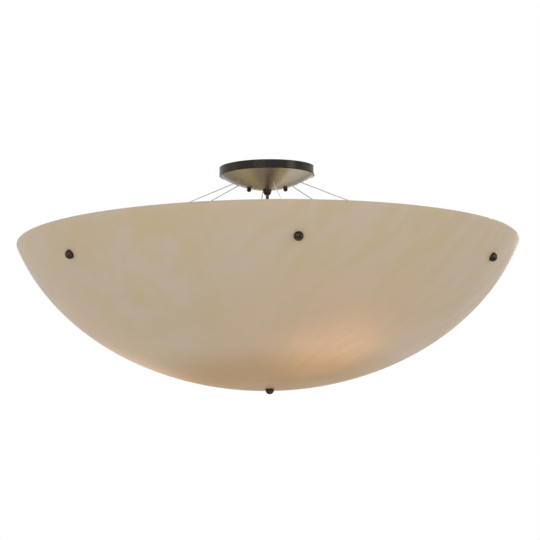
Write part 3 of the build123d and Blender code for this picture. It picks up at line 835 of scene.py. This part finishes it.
def slotted_screw():
    """A pan head with a sawn slot, standing on the origin."""
    mesh = spun_section(outline_section(screw_outline), screw_sides)
    for side in (-1, 1):
        for cut in (slot_half_width, slot_half_width + slot_lean):
            parts = [*mesh.verts, *mesh.edges, *mesh.faces]
            plane = (side * cut, 0, 0)
            bmesh.ops.bisect_plane(mesh, geom=parts, plane_co=plane, plane_no=(1, 0, 0), dist=touching)
    for corner in mesh.verts:
        if abs(corner.co.x) < slot_half_width + slot_lean / 2 and corner.co.z > slot_floor:
            corner.co.z = slot_floor
    bmesh.ops.recalc_face_normals(mesh, faces=mesh.faces)
    return mesh


for number, angle in enumerate(lamp_angles, 1):
    collar = arm_collar()
    bmesh.ops.transform(collar, matrix=aimed(lamp_origin, lamp_axis(angle)), verts=collar.verts)
    new_piece(f"arm_collar_{number}", collar, root, enamel)
for number, side in enumerate((-1, 1), 1):
    screw = slotted_screw()
    turn = Matrix.Rotation(side * lid_screw_turn, 4, "Z")
    place = Matrix.Translation((side * lid_screw_circle, 0, lid_top))
    bmesh.ops.transform(screw, matrix=place @ turn, verts=screw.verts)
    new_piece(f"lid_screw_{number}", screw, root, zinc)


# Sockets: white glazed porcelain, one at the end of each arm, with a pressed brass shell and a
# brass contact inside. The contact under each bulb is the same brass.
porcelain_white = (0.84, 0.83, 0.79)
porcelain_cream = (0.80, 0.79, 0.74)
porcelain_bright = (0.86, 0.85, 0.82)
brass_yellow = (0.78, 0.60, 0.30)
brass_tarnished = (0.62, 0.44, 0.20)
brass_bright = (0.84, 0.67, 0.36)


def glazed_porcelain():
    """White porcelain under a clear glaze."""
    material, tree, shader = shaded(
        "glazed_porcelain", porcelain_white, roughness=0.22, Coat_Weight=0.8, Coat_Roughness=0.06
    )
    clay = mottled(tree, scale=90, detail=3)
    coloured_by(tree, shader, clay, porcelain_cream, porcelain_bright)
    rough_by(tree, shader, clay, low=0.16, high=0.28)
    return material


def pressed_brass():
    """Brass, bright with a little tarnish."""
    material, tree, shader = shaded("pressed_brass", brass_yellow, roughness=0.28, metallic=1.0)
    tarnish = mottled(tree, scale=130, detail=4)
    coloured_by(tree, shader, tarnish, brass_tarnished, brass_bright)
    rough_by(tree, shader, tarnish, low=0.20, high=0.38)
    return material


wear(glazed_porcelain(), "lamp_sockets")
brass = pressed_brass()
wear(brass, "socket_shells", *[f"bulb_contact_{lamp}" for lamp in range(1, len(lamp_angles) + 1)])


# Bulbs: a frosted glass envelope cemented into a screw cap rolled from thin brass, with a black
# glass button under it. They burn low, brightest where the filament stands. Heights run along a
# bulb from the tip of its contact.
bulb_tip_distance = 0.1345
bulb_length = 0.108
bulb_radius = 0.030
bulb_neck = 0.0124
neck_start = 0.0225
bulb_shoulder = 35
bulb_sides = 48
crown_steps = 22
hollow_steps = 8
cap_radius = 0.0123
cap_length = 0.025
cap_rim_height = 0.0012
cap_rim_bulge = 0.0008
thread_bead = 0.0011
thread_sink = 0.0003
thread_pitch = 0.00363
thread_start = 0.0085
thread_turns = 3.6
steps_in_turn = 20
bead_sides = 8
button_radius = 0.0045
button_height = 0.0020
button_rim = 0.0108
button_top = 0.0058
lamp_white = (0.60, 0.56, 0.50)
lamp_glow = (1.0, 0.76, 0.46)
filament_reach = (0.150, 0.205)
filament_light = (0.06, 0.46)
frost_light = (0.9, 1.1)
glass_black = (0.010, 0.010, 0.012)


def frosted_glass():
    """Frosted glass, lit from inside and dimmer towards the neck."""
    material, tree, shader = shaded("frosted_glass", lamp_white, roughness=0.35)
    frost = mottled(tree, scale=300, detail=2)
    lit_up = stretch(tree, distance_from_axis(tree), *filament_reach, *filament_light)
    strength = maths(tree, "MULTIPLY", lit_up, stretch(tree, frost, *usual_clouds, *frost_light))
    shader.inputs["Emission Color"].default_value = (*lamp_glow, 1)
    tree.links.new(strength, shader.inputs["Emission Strength"])
    rough_by(tree, shader, frost, low=0.30, high=0.45)
    raised_by(tree, shader, frost, depth=0.00002)
    return material


def black_glass():
    """Black pressed glass, slightly uneven."""
    material, tree, shader = shaded("black_glass", glass_black, roughness=0.12)
    flow = mottled(tree, scale=260, detail=2)
    rough_by(tree, shader, flow, low=0.08, high=0.20)
    raised_by(tree, shader, flow, depth=0.00003)
    return material


def bulb_glass():
    """The envelope: a round crown, a hollow shoulder and a neck, drawn from the top down."""
    mesh = bmesh.new()
    shoulder = radians(bulb_shoulder)
    crown = mesh.verts.new((0, 0, bulb_length))
    crown_height = bulb_length - bulb_radius
    centre = (0, 0, crown_height)
    sweep = pi / 2 + shoulder
    bmesh.ops.spin(mesh, geom=[crown], cent=centre, axis=(0, 1, 0), angle=sweep, steps=crown_steps)
    mesh.verts.ensure_lookup_table()
    hollow = (bulb_radius * cos(shoulder) - bulb_neck) / (1 - cos(shoulder))
    reach = bulb_radius + hollow
    centre = (reach * cos(shoulder), 0, crown_height - reach * sin(shoulder))
    waist = mesh.verts[-1]
    bmesh.ops.spin(mesh, geom=[waist], cent=centre, axis=(0, -1, 0), angle=shoulder, steps=hollow_steps)
    mesh.verts.ensure_lookup_table()
    bmesh.ops.extrude_vert_indiv(mesh, verts=[mesh.verts[-1]])
    mesh.verts.ensure_lookup_table()
    mesh.verts[-1].co.z = neck_start
    return spun_section(mesh, bulb_sides)


def bulb_cap():
    """The screw cap: a thin cup with a rolled rim and a round-backed thread."""
    mesh = spun_section(outline_section([
        (0, button_top),
        (button_rim, button_top),
        (cap_radius, thread_start - thread_bead),
        (cap_radius, cap_length - cap_rim_height),
        (cap_radius + cap_rim_bulge, cap_length - cap_rim_height / 2),
        (cap_radius, cap_length),
        (0, cap_length),
    ]), bulb_sides)
    start = Matrix.Translation((cap_radius - thread_sink, 0, thread_start))
    bead = bmesh.ops.create_circle(
        mesh,
        cap_ends=True,
        segments=bead_sides,
        radius=thread_bead,
        matrix=start @ Matrix.Rotation(pi / 2, 4, "X"),
    )
    ring = bead["verts"]
    bmesh.ops.spin(
        mesh,
        geom=[
            *ring,
            *[edge for edge in mesh.edges if edge.verts[0] in ring],
            *[face for face in mesh.faces if face.verts[0] in ring],
        ],
        cent=(0, 0, 0),
        axis=(0, 0, 1),
        dvec=(0, 0, thread_pitch / steps_in_turn),
        angle=2 * pi * thread_turns,
        steps=round(thread_turns * steps_in_turn),
    )
    bmesh.ops.recalc_face_normals(mesh, faces=mesh.faces)
    return mesh


def cap_button():
    """The black glass between the cap and its centre contact."""
    return spun_section(outline_section([
        (0, button_height),
        (button_radius, button_height),
        (button_rim, button_top),
        (0, button_top),
    ]), bulb_sides)


glass = frosted_glass()
button_glass = black_glass()
for number, angle in enumerate(lamp_angles, 1):
    along = lamp_axis(angle)
    seat = aimed(lamp_origin + along * bulb_tip_distance, along)
    for name, make, material, slot in (
        ("bulb_envelope", bulb_glass, glass, "bulb_glass"),
        ("bulb_screw_cap", bulb_cap, brass, "socket_brass"),
        ("bulb_button", cap_button, button_glass, "bushing_black"),
    ):
        mesh = make()
        bmesh.ops.transform(mesh, matrix=seat, verts=mesh.verts)
        piece = new_piece(f"{name}_{number}", mesh, f"bulb_{number}", material)
        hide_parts(f"bulb_{number}")
